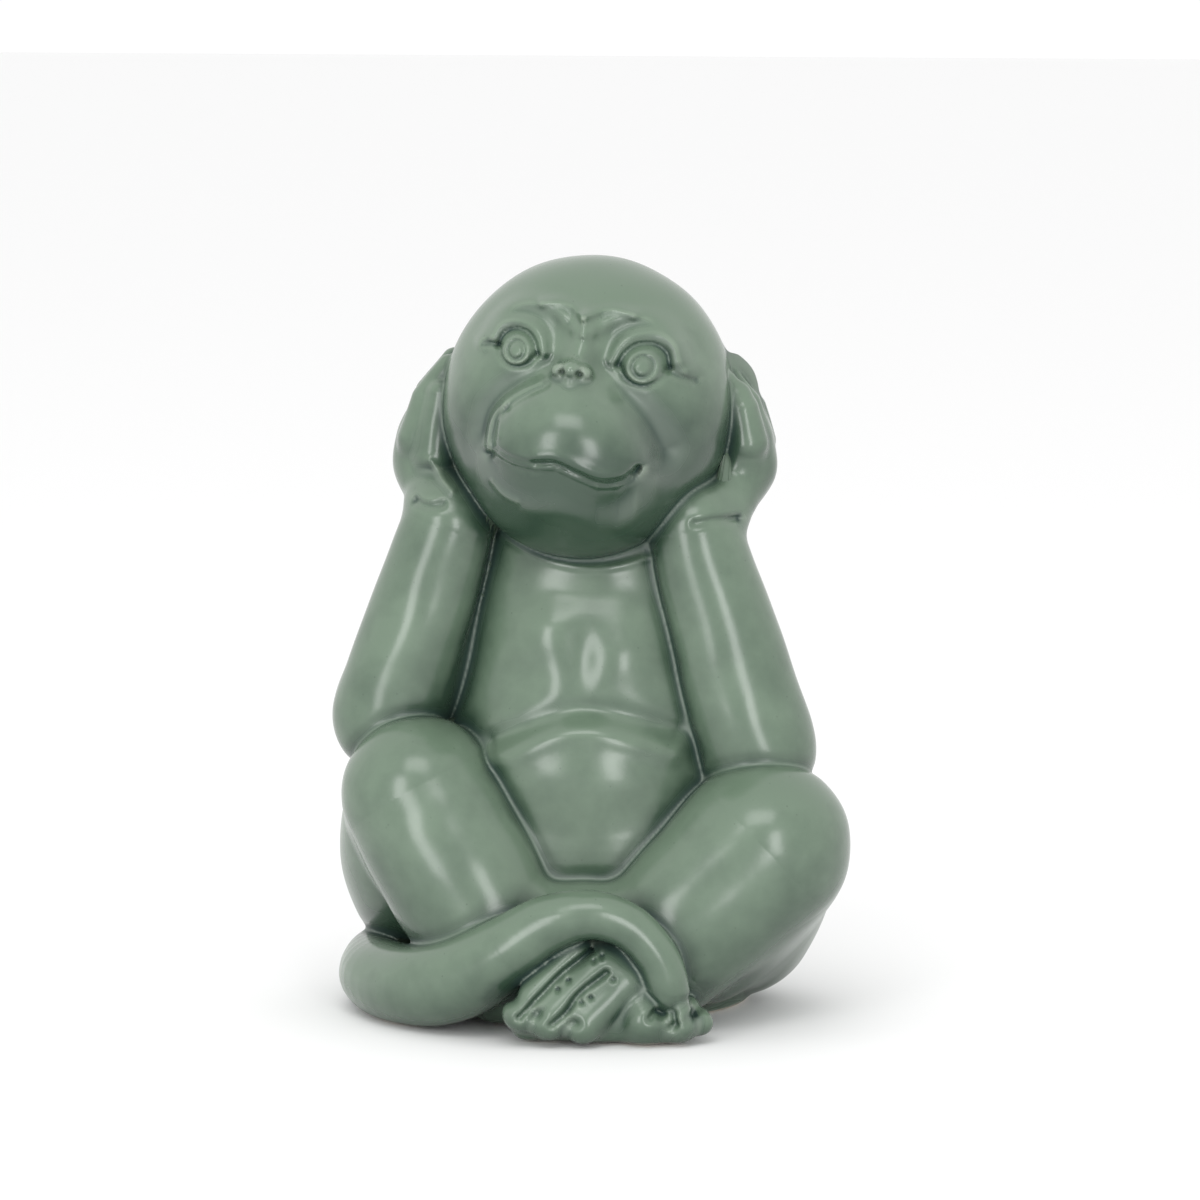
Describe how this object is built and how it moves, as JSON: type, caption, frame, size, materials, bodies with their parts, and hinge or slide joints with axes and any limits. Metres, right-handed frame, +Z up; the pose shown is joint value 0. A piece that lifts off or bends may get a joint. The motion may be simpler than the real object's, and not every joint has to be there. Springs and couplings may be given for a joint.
{
  "type": "monkey figurine",
  "caption": "Seated monkey figurine in glazed stoneware, hands cupped over the ears, elbows on raised knees, ankles crossed and the tail laid over them.",
  "frame": {"origin": "on the ground, at the middle of the base disc's front half, below the middle of the figure", "axes": "+Z up the figure, -Y the way the face looks, +X towards the monkey's left side, on the viewer's right"},
  "size_m": [0.137, 0.1201, 0.199],
  "materials": {
    "celadon_glaze": "clear sage green celadon glaze, glossy, paler on ridges and darker where it pools",
    "bare_clay": "unglazed fired stoneware, matt, wiped clean for the kiln shelf"
  },
  "bodies": {
    "root": {"head": "celadon_glaze", "torso": "celadon_glaze", "base_disc": "bare_clay", "right_leg": "celadon_glaze", "left_leg": "celadon_glaze", "right_arm": "celadon_glaze", "left_arm": "celadon_glaze", "right_hand": "celadon_glaze", "left_hand": "celadon_glaze", "right_ear": "celadon_glaze", "left_ear": "celadon_glaze", "right_foot": "celadon_glaze", "left_foot": "celadon_glaze", "tail": "celadon_glaze"}
  },
  "joints": []
}
